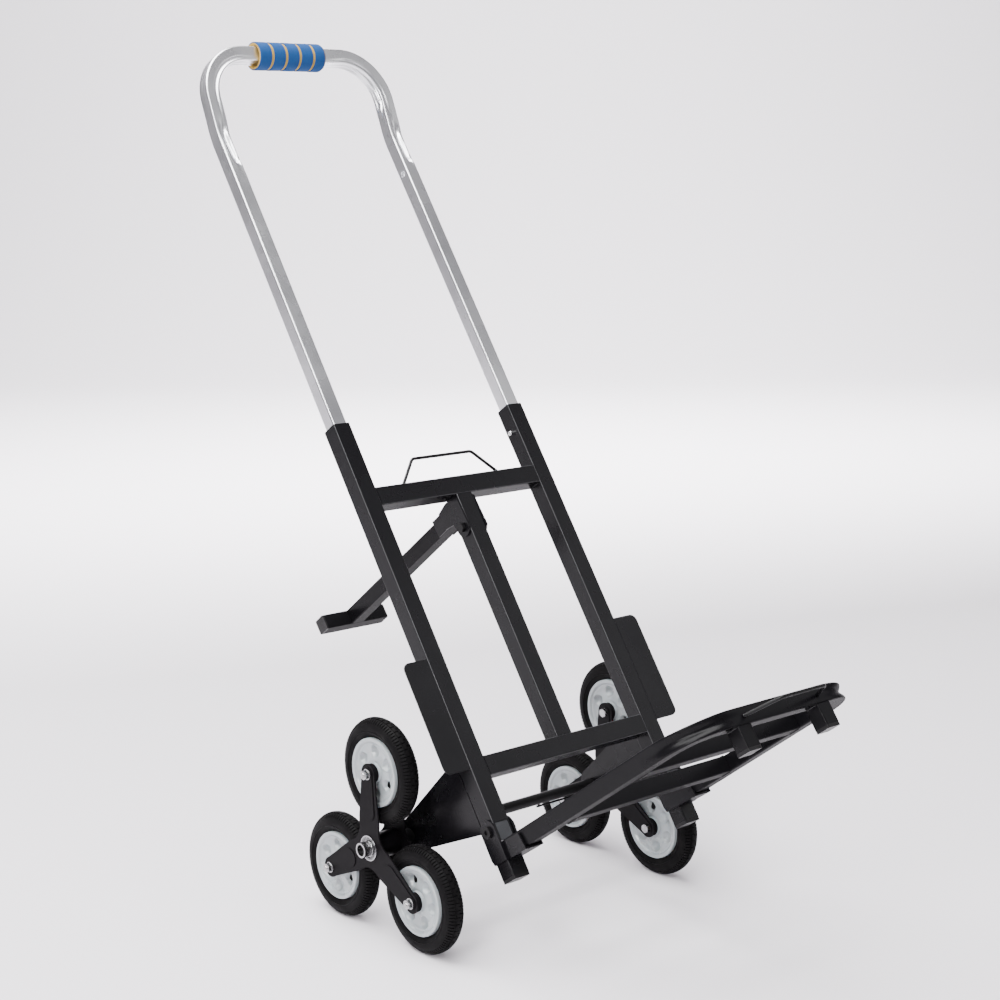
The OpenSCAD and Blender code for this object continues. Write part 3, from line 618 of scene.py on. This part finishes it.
def bolt_set(name, centre, body, side):
    """Wheel bolt: chamfered head inside, washer and nut outside, threaded end."""
    out = facing((side, 0, 0), centre)
    nut = PLATE_HALF + WASHER
    hexagon(name + "_head", out, -PLATE_HALF - BOLT_HEAD, -PLATE_HALF, body, face_up=False, bore=CLOSED)
    hexagon(name + "_nut", out, nut, nut + BOLT_NUT, body)
    washer = [(4.3, PLATE_HALF), (8.2, PLATE_HALF), (8.2, nut), (4.3, nut)]
    lathe(name + "_washer", washer, out, "zinc", body, 40)
    start = PLATE_HALF - 2
    end = start + THREAD_PITCH * THREAD_TURNS
    thread = [(CLOSED, start)]
    for k in range(THREAD_TURNS):
        z = start + THREAD_PITCH * k
        thread += [(4.0, z), (3.45, z + THREAD_PITCH / 2)]
    thread += [(3.4, end), (CLOSED, end + 0.35)]
    lathe(name + "_thread", thread, out, "zinc", body, 36, 50)


def make_wheels():
    for side, word in SIDES:
        for i, place in enumerate(("top", "front", "back")):
            body = f"wheel_{word}_{place}"
            centre = Vector(joint[body + "_spin"]["pos_m"])
            spin = math.radians(47 * i + 20 * side)
            tread = tyre(f"tyre_tread_{word}_{place}", centre, body, spin)
            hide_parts(f"tyre_{word}_{place}")
            moulding = rim(f"rim_moulding_{word}_{place}", centre, body, RIM_TURN[(word, place)], side)
            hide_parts(f"rim_{word}_{place}")
            bolt_set(f"wheel_bolt_{word}_{place}", centre, f"cluster_{word}", side)
        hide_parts(f"wheel_bolts_{word}")


def make_hubs():
    """Shielded bearings with a rolled shield edge, an inner race, and a snap ring over the axle sleeve."""
    for side, word in SIDES:
        body = f"cluster_{word}"
        out = facing((side, 0, 0), Vector(joint[body + "_turn"]["pos_m"]))
        for k, face, end in ((1, 25.9, "outer"), (-1, -28.1, "inner")):
            base = face - 9.6 * k
            ring = [(17.4, base)] + [(r, face - depth * k) for r, depth in SHIELD] + [(8.65, base)]
            piece = lathe(f"bearing_{end}_{word}", ring, out, "bearing_steel", body, 72, 30)
            if end == "outer":
                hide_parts(f"hub_bearings_{word}")
        lathe(f"snap_ring_{word}", SNAP_RING, out, "bright_steel", body, 64, 30)


# ---------------------------------------------------------------------------
# Handle
# ---------------------------------------------------------------------------
HANDLE_W, HANDLE_R = 25, 3
LEG_X, LEG_V, LEG_LOW = 173.3, -15, 500
# The legs bend forward at KINK_AT. The loop's top bar lies LOOP_RISE beyond that, with LOOP_R corners
KINK_AT, KINK_R, KINK = 1125, 150, math.radians(12)
LOOP_RISE, LOOP_R = 142, 77
# Lock button holes, as distances up the leg, and their radius
INDEX_HOLES, INDEX_R = (51, 551), 5.2
GRIP_ROLLS, GRIP_GAP, GRIP_OUTER, GRIP_INNER, GRIP_BORE = 5, 5.0, 23.2, 21.1, 17.2


def handle_path():
    """Centre line of one handle half, from the leg's foot to the middle of the top bar. Each row has the
    distance from the leg towards the middle, u, v, forward lean, turn to the middle and length so far."""
    reach = KINK_R * math.tan(KINK / 2)
    up, ahead = math.cos(KINK), math.sin(KINK)
    leg = KINK_AT - reach - LEG_LOW
    # the rows stand closest round the two lock button holes
    along = [0, 10, 20, 30, 40, 43] + [44 + i for i in range(15)]
    along += [60 + (leg - 142) * i / 50 for i in range(50)]
    along += [leg - 82 + i for i in range(36)] + [leg - 46 + 2 * i for i in range(23)]
    rows = [(0.0, LEG_LOW + d, LEG_V, 0.0, 0.0, d) for d in along]
    for i in range(16):
        q = KINK * i / 16
        u, v = KINK_AT - reach + KINK_R * math.sin(q), LEG_V + KINK_R * (1 - math.cos(q))
        rows.append((0.0, u, v, q, 0.0, leg + KINK_R * q))
    done = leg + KINK_R * KINK
    straight = LOOP_RISE - LOOP_R - reach
    for i in range(24):
        d = straight * i / 24
        rows.append((0.0, KINK_AT + (reach + d) * up, LEG_V + (reach + d) * ahead, KINK, 0.0, done + d))
    done += straight
    for i in range(60):
        q = math.pi / 2 * i / 60
        d = LOOP_RISE - LOOP_R + LOOP_R * math.sin(q)
        x = LOOP_R * (1 - math.cos(q))
        rows.append((x, KINK_AT + d * up, LEG_V + d * ahead, KINK, q, done + LOOP_R * q))
    done += LOOP_R * math.pi / 2
    top_u, top_v = KINK_AT + LOOP_RISE * up, LEG_V + LOOP_RISE * ahead
    for i in range(21):
        d = (LEG_X - LOOP_R) * i / 20
        rows.append((LOOP_R + d, top_u, top_v, KINK, math.pi / 2, done + d))
    return rows


def make_handle():
    """Bent square tube. In its section, a is towards the inside of the loop and b is ahead."""
    rows = handle_path()
    total = rows[-1][-1]
    path = []
    for side, part in ((-1, rows), (1, rows[-2::-1])):
        for x, u, v, lean, turn, dist in part:
            ahead = AHEAD * math.cos(lean) - UP * math.sin(lean)
            rise = UP * math.cos(lean) + AHEAD * math.sin(lean)
            inner = Vector((-side, 0, 0)) * math.cos(turn) - rise * math.sin(turn)
            path.append((at(side * (LEG_X - x), u, v), inner, ahead, dist if side < 0 else 2 * total - dist))
    w = HANDLE_W / 2
    fold_at = KINK_AT - 20 - LEG_LOW
    crease_at = KINK_AT - LEG_LOW + (LOOP_RISE - LOOP_R) + LOOP_R * 0.6

    def up_leg(s):
        """Distance along the leg from its foot."""
        return s if s < total else 2 * total - s

    def front_face(b):
        return clamp((b - w * 0.5) / (w * 0.45))

    def fold(a, b, s):
        """Long dent across the front face where the legs bend forward, with a pinched flare under it."""
        d = up_leg(s) - fold_at
        x = a if s < total else -a
        deep = plateau(d / 32) * bell((x - 2.8 + 0.08 * d) / 4.6) * 6.4
        flare = bell((d + 41) / 7) * bell((x - 5.5) / 5) * 0.5 - bell((d + 31) / 5) * bell((x - 8) / 4) * 2.2
        ridge = plateau(d / 30) * bell((x + 5.5 + 0.06 * d) / 3.2) * 0.5
        pull = plateau(d / 30) * 1.9 if x > w * 0.6 else 0.0
        return (-pull if s < total else pull), front_face(b) * (ridge + flare - deep)

    def crease(a, b, s):
        """Folds on the inner wall and its front edge at the top corners, and a channel on the outer wall."""
        d = up_leg(s) - crease_at
        inner = clamp((a - w * 0.3) / (w * 0.65))
        outer = clamp((-a - w * 0.3) / (w * 0.65))
        run = plateau(d / 66)
        wall = run * (bell((b - 3.2) / 2.6) * 4.4 + bell((b + 5) / 2.8) * 2.6)
        wall += bell((d + 50) / 9) * bell((b - 1) / 6) * 3.4
        edge = run * bell((a - 6.2 - 0.03 * d) / 2.2) * 2.6
        channel = run * bell(b / 4.5) * 1.5
        return outer * channel - inner * wall, -front_face(b) * edge

    def index_hole(a, b, s):
        """Blind hole in the inner wall of each leg for the lock button."""
        reach = min(math.hypot(up_leg(s) - hole, b) for hole in INDEX_HOLES)
        return (-5.5 if a > w * 0.95 and reach < INDEX_R else 0.0), 0.0

    tube = swept_tube("handle_bent_tube", path, HANDLE_W, HANDLE_R, "aluminium", "handle",
                      (fold, crease, index_hole), 21)
    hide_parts("handle_tube")


def roll_profile(z0, z1, start, end):
    """Section of one foam roll, rounded by start at z0 and by end at z1."""
    profile = [(GRIP_INNER - 0.6, z0 + 0.1), (GRIP_OUTER - start - 0.2, z0)]
    for q in (math.pi / 2 * k / 5 for k in range(1, 6)):
        profile.append((GRIP_OUTER - start + start * math.sin(q), z0 + start - start * math.cos(q)))
    for z in (z0 + (z1 - z0) * k / 8 for k in range(2, 7)):
        if z < z1 - end:
            profile.append((GRIP_OUTER, z))
    for q in (math.pi / 2 * k / 8 for k in range(9)):
        r = GRIP_OUTER - end + end * math.cos(q)
        if r > GRIP_INNER:
            profile.append((r, z1 - end + end * math.sin(q)))
    return profile + [(GRIP_INNER - 0.6, z1 - 0.1)]


def make_grip():
    """Foam grip: blue outer sleeve in rolls over a yellow core, both open at the ends."""
    low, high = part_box("grip_sleeve")
    left, right = low.x / MM, high.x / MM
    centre = at(0, KINK_AT + LOOP_RISE * math.cos(KINK), LEG_V + LOOP_RISE * math.sin(KINK))
    place = facing((1, 0, 0), centre)
    step = (right - left + GRIP_GAP) / GRIP_ROLLS
    for i in range(GRIP_ROLLS):
        z0 = left + i * step
        start = 0.7 if i else 1.3
        end = 0.7 if i < GRIP_ROLLS - 1 else 6.0
        profile = roll_profile(z0, z0 + step - GRIP_GAP, start, end)
        piece = lathe(f"grip_roll_{i + 1}", profile, place, "grip_blue", "handle", 72, 60)
        roughen(piece, centre, 0.00022, 4 + i)
        if i == 0:
            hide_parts("grip_sleeve")
    bore, inner = GRIP_BORE, GRIP_INNER
    profile = [(bore + 0.8, left + 0.3), (bore + 1.6, left), (inner + 0.2, left), (inner + 0.5, left + 0.8)]
    profile += [(inner + 0.55, left + 1 + (right - left - 3) * k / 40) for k in range(41)]
    profile += [(inner - 1, right - 0.5), (bore + 0.6, right - 0.5), (bore, right - 1.6), (bore, left + 1.4)]
    core = lathe("grip_foam_core", profile, place, "grip_core", "handle", 72, 60)
    roughen(core, centre, 0.0002, 19)
    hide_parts("grip_core")


def roughen(obj, centre, size, seed):
    """Small seeded waviness, so that the foam isn't perfectly round."""
    chance = random.Random(seed)
    waves = [(chance.uniform(60, 220), chance.uniform(0, 6.28), chance.choice((2, 3, 5))) for _ in range(5)]
    for vertex in obj.data.vertices:
        d = vertex.co - centre
        q = math.atan2(d.z, d.y)
        wave = sum(math.sin(f * d.x + p + m * q) for f, p, m in waves) / len(waves)
        radial = Vector((0, d.y, d.z)).normalized()
        vertex.co += radial * (size * (wave - 1))


# ---------------------------------------------------------------------------
# Toe frame: a bent tube, whose legs close in by TOE_TAPER towards the side tubes
# ---------------------------------------------------------------------------
TOE_W, TOE_R = 25, 2.2
TOE_LEN, TOE_HALF, TOE_CORNER, TOE_TAPER = 423, 173, 66.5, math.radians(1.8)
# The two crossbars, ahead of the side tubes
REAR_BAR, FRONT_BAR = 122, 286


def deck(x, w, h):
    """World point of (x, w, h) in millimetres: w ahead of the side tubes, h over the toe tube's middle."""
    base = DECK_ORIGIN - DECK * (TOE_W / 2 * MM) - DECK_AHEAD * (REAR_BAR * MM)
    return base + Vector((x * MM, 0, 0)) + DECK_AHEAD * (w * MM) + DECK * (h * MM)


def make_toe_frame():
    corner_w = TOE_LEN - TOE_W / 2 - TOE_CORNER
    corner_x = TOE_HALF - TOE_W / 2 - TOE_CORNER
    start_w = corner_w + TOE_CORNER * math.sin(TOE_TAPER)
    start_x = corner_x + TOE_CORNER * math.cos(TOE_TAPER)
    leg = start_w / math.cos(TOE_TAPER) - 2
    bend = TOE_CORNER * (math.pi / 2 - TOE_TAPER)
    total = leg + bend + corner_x
    # (x, w, turn towards the middle, length so far) of the right half, from the leg's end
    stations = []
    for i in range(60):
        d = leg * (1 - i / 60)
        x, w = start_x + d * math.sin(TOE_TAPER), start_w - d * math.cos(TOE_TAPER)
        stations.append((x, w, TOE_TAPER, leg - d))
    for i in range(36):
        q = TOE_TAPER + (math.pi / 2 - TOE_TAPER) * i / 36
        x, w = corner_x + TOE_CORNER * math.cos(q), corner_w + TOE_CORNER * math.sin(q)
        stations.append((x, w, q, leg + TOE_CORNER * (q - TOE_TAPER)))
    for i in range(17):
        d = corner_x * i / 16
        stations.append((corner_x - d, corner_w + TOE_CORNER, math.pi / 2, leg + bend + d))
    path = []
    for x, w, q, s in stations:
        outward = Vector((math.cos(q), 0, 0)) + DECK_AHEAD * math.sin(q)
        path.append((deck(x, w, 0), outward, DECK, s))
    for x, w, q, s in reversed(stations[:-1]):
        outward = Vector((-math.cos(q), 0, 0)) + DECK_AHEAD * math.sin(q)
        path.append((deck(-x, w, 0), outward, DECK, 2 * total - s))
    half = TOE_W / 2
    corner_at = leg + bend * 0.5

    def corners(s, size):
        return bell((s - corner_at) / size) + bell((2 * total - s - corner_at) / size)

    def valley(a, b, s):
        """The outer wall sinks into a channel round the corners."""
        outer = clamp((a + half * 0.2) / (half * 0.9))
        deep = corners(s, 46) * bell(b / 6.2) * 5.6
        return -outer * deep, 0.0

    def crush(a, b, s):
        """The inner wall folds inwards and the section flattens."""
        inner = clamp((-a - half * 0.3) / (half * 0.65))
        deep = corners(s, 40) * bell((b - 1) / 5) * 3.2
        flat = corners(s, 42) * 1.1
        return inner * deep, (-1 if b > 0 else 1) * flat * min(1, abs(b) / half)

    tube = swept_tube("toe_bent_tube", path, TOE_W, TOE_R, "frame_paint", "toe", (valley, crush))
    tube.data.materials[0] = MATERIAL["toe_paint"]
    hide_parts("toe_frame")


# ---------------------------------------------------------------------------
# Welds: each bead's radius is in millimetres, and its seed varies the ripples
# ---------------------------------------------------------------------------
TUBE_W = 30
# Lower edges of the two crossbars, faces of the side tubes, and the gusset's weld, in the leaning frame
LOWER_BAR, UPPER_BAR = 18.1, 454.9
SIDE_TUBE_IN, SIDE_TUBE_OUT = LEG_X - TUBE_W / 2, LEG_X + TUBE_W / 2
GUSSET_X = 184.3
BEAD_POINTS, BEAD_STEP = 10, 0.7


def weld(name, start, end, size, body, seed):
    """Rippled weld bead from one world point to another."""
    chance = random.Random(seed)
    steps = max(1, round((end - start).length / (BEAD_STEP * MM)))
    stations = [start.lerp(end, i / steps) for i in range(steps)] + [end]
    verts = []
    for i, p in enumerate(stations):
        if i < steps:
            along = (stations[i + 1] - p).normalized()
        side = along.orthogonal().normalized()
        other = along.cross(side)
        fade = min(1.0, 0.35 + i / 4, 0.35 + (steps - i) / 4)
        r = size * MM * fade * (0.86 + 0.2 * abs(math.sin(i * 0.95)) + chance.uniform(-0.05, 0.05))
        for k in range(BEAD_POINTS):
            a = 2 * math.pi * k / BEAD_POINTS
            verts.append(p + side * (r * math.cos(a)) + other * (r * math.sin(a)))
    rings = len(stations)
    faces = grid_faces(rings, BEAD_POINTS) + end_caps(rings, BEAD_POINTS)
    return new_object(name, verts, faces, "frame_paint", body, 0)


def weld_crossbar(word, low):
    high = low + TUBE_W
    for side, _ in SIDES:
        x = side * SIDE_TUBE_IN
        weld(f"weld_{word}_back_{side + 1}", at(x, low + 3, -30), at(x, high - 3, -30), 2.0, "frame", 3)
        weld(f"weld_{word}_over_{side + 1}", at(x, high, -27), at(x, high, -4), 1.2, "frame", 5)
        weld(f"weld_{word}_under_{side + 1}", at(x, low, -27), at(x, low, -4), 1.2, "frame", 7)


def weld_centre_tube(word, u):
    for side, _ in SIDES:
        x = side * TUBE_W / 2
        weld(f"weld_centre_{word}_{side + 1}", at(x, u, -26), at(x, u, -4), 1.7, "frame", 11)
    weld(f"weld_centre_{word}_back", at(-12, u, -29.1), at(12, u, -29.1), 1.4, "frame", 13)


def weld_plates(side):
    """Gusset, guard plate and upper bail of one side."""
    x = side * GUSSET_X
    weld(f"weld_gusset_{side + 1}", at(x, -52, -30.5), at(x, 54, -30.5), 1.6, "frame", 17)
    x = side * SIDE_TUBE_OUT
    for i, u in enumerate((48, 120, 190)):
        weld(f"weld_guard_{side + 1}_{i}", at(x, u - 9, -3), at(x, u + 9, -3), 1.6, "frame", 19 + i)
    x = side * 97
    weld(f"weld_bail_{side + 1}", at(x, 485.2, -19), at(x, 485.2, -11), 2.6, "frame", 23)


def weld_toe_bar(bar, w):
    for side, _ in SIDES:
        x = side * (160.47 + (345 - w) * math.tan(TOE_TAPER) - 12.6)
        name = f"weld_toe_{bar}"
        for h, word in ((12.3, "over"), (-12.3, "under")):
            weld(f"{name}_{word}_{side + 1}", deck(x, w - 11, h), deck(x, w + 11, h), 1.7, "toe", 29)
        weld(f"{name}_back_{side + 1}", deck(x, w - 12.4, -10), deck(x, w - 12.4, 10), 1.7, "toe", 31)


def weld_toe_front(side):
    """Front foot and front bail of one side."""
    x = side * 78
    for d, word in ((-12.3, "in"), (12.3, "out")):
        start, end = deck(x + d, 400, -12.5), deck(x + d, 421, -12.5)
        weld(f"weld_toe_foot_{word}_{side + 1}", start, end, 1.8, "toe", 37)
    start, end = deck(x - 11, 398.4, -12.6), deck(x + 11, 398.4, -12.6)
    weld(f"weld_toe_foot_back_{side + 1}", start, end, 1.9, "toe", 41)
    x = side * 72
    weld(f"weld_toe_bail_{side + 1}", deck(x - 3, 423.4, -1), deck(x + 3, 423.4, -1), 3.0, "toe", 43)


def make_welds():
    weld_crossbar("upper", UPPER_BAR)
    weld_crossbar("lower", LOWER_BAR)
    weld_centre_tube("foot", LOWER_BAR + TUBE_W)
    weld_centre_tube("head", UPPER_BAR)
    for side, _ in SIDES:
        weld_plates(side)
    weld_toe_bar("rear", REAR_BAR)
    weld_toe_bar("front", FRONT_BAR)
    for side, _ in SIDES:
        weld_toe_front(side)


# ---------------------------------------------------------------------------
# CAD nodes that stay: finish and edge rounding in millimetres, by the start of the node's name
# ---------------------------------------------------------------------------
PAINT = {"hub_tube": "hub_paint", "side_tube": "tube_paint", "upper_crossbar": "tube_paint",
         "lower_crossbar": "tube_paint", "centre_tube": "tube_paint", "toe_crossbars": "toe_paint",
         "toe_feet": "toe_paint", "prop_arm": "toe_paint", "prop_pivot_bolt": "axle_black"}
EDGE = {"spider": 0.9, "fender": 0.45, "gusset": 0.6, "heel_bracket": 0.7, "prop_bracket": 0.7,
        "axle": 0.5, "hub": 0.5, "toe_pivot": 0.7, "prop_pivot": 0.6, "upper": 0.25, "lower": 0.25,
        "side": 0.25, "centre": 0.25, "prop_arm": 0.3, "toe_crossbars": 0.25, "heel_f": 0.3, "toe_f": 0.3}


def look_up(table, name, otherwise=None):
    return next((value for start, value in table.items() if name.startswith(start)), otherwise)


def finish_cad_nodes():
    slots = {s["node"]: s["material_slot"] for s in frame["record"]["subparts"]}
    for name, obj in frame["nodes"].items():
        if obj.hide_render:
            continue
        obj.data.materials.clear()
        obj.data.materials.append(MATERIAL[look_up(PAINT, name, slots[name])])
        rounding = look_up(EDGE, name)
        if rounding:
            bevel = obj.modifiers.new("edge", "BEVEL")
            bevel.width = rounding * MM
            bevel.segments = 3
            bevel.limit_method = "ANGLE"
            bevel.angle_limit = math.radians(40)
            bevel.use_clamp_overlap = True
            bevel.harden_normals = True


# ---------------------------------------------------------------------------
# Floor and light, in metres
# ---------------------------------------------------------------------------
FLOOR_NEAR, FLOOR_FAR, CURVE_R, WALL_TOP, FLOOR_HALF = -12, 7, 4, 16, 22


def make_stage():
    """Paper sweep: flat floor, a curve and a wall, square to the camera."""
    profile = [(FLOOR_NEAR, 0), (FLOOR_FAR, 0)]
    for q in (math.pi / 2 * k / 16 for k in range(1, 17)):
        profile.append((FLOOR_FAR + CURVE_R * math.sin(q), CURVE_R - CURVE_R * math.cos(q)))
    profile.append((FLOOR_FAR + CURVE_R, WALL_TOP))
    away = Vector((-math.sin(VIEW_AZIMUTH), math.cos(VIEW_AZIMUTH), 0))
    verts = []
    for d, z in profile:
        for x in (-FLOOR_HALF, FLOOR_HALF):
            verts.append(away * d + VIEW_ACROSS * x + Vector((0, 0, z)))
    faces = [(2 * i, 2 * i + 1, 2 * i + 3, 2 * i + 2) for i in range(len(profile) - 1)]
    mesh = bpy.data.meshes.new("floor")
    mesh.from_pydata([tuple(v) for v in verts], [], faces)
    mesh.shade_smooth()
    mesh.materials.append(floor_paper())
    place_in_scene("floor", mesh)


def area_light(name, where, target, size, power):
    light = bpy.data.lights.new(name, "AREA")
    light.shape = "RECTANGLE"
    light.size, light.size_y = size
    light.energy = power
    aim = Vector(target) - Vector(where)
    obj = place_in_scene(name, light)
    obj.matrix_world = Matrix.Translation(Vector(where)) @ aim.to_track_quat("-Z", "Y").to_matrix().to_4x4()


def make_light():
    world = bpy.data.worlds.new("studio")
    world.use_nodes = True
    background = world.node_tree.nodes["Background"]
    background.inputs["Color"].default_value = (0.93, 0.908, 0.955, 1)
    background.inputs["Strength"].default_value = 0.42
    bpy.context.scene.world = world
    area_light("overhead", (-1.0, 0.7, 4.4), (0, 0.7, 0), (4.4, 4.4), 740)
    area_light("left_softbox", (-3.3, -1.7, 2.7), (0, 0, 0.6), (0.9, 2.4), 180)
    area_light("right_softbox", (2.9, -2.4, 2.6), (0, 0, 0.6), (1.8, 2.0), 16)
    area_light("backdrop_wash", (2.6, 2.2, 3.4), (4.4, 6.8, 1.2), (4.0, 2.0), 1500)


make_camera()
make_wheels()
make_hubs()
make_handle()
make_grip()
make_toe_frame()
make_welds()
finish_cad_nodes()
make_stage()
make_light()
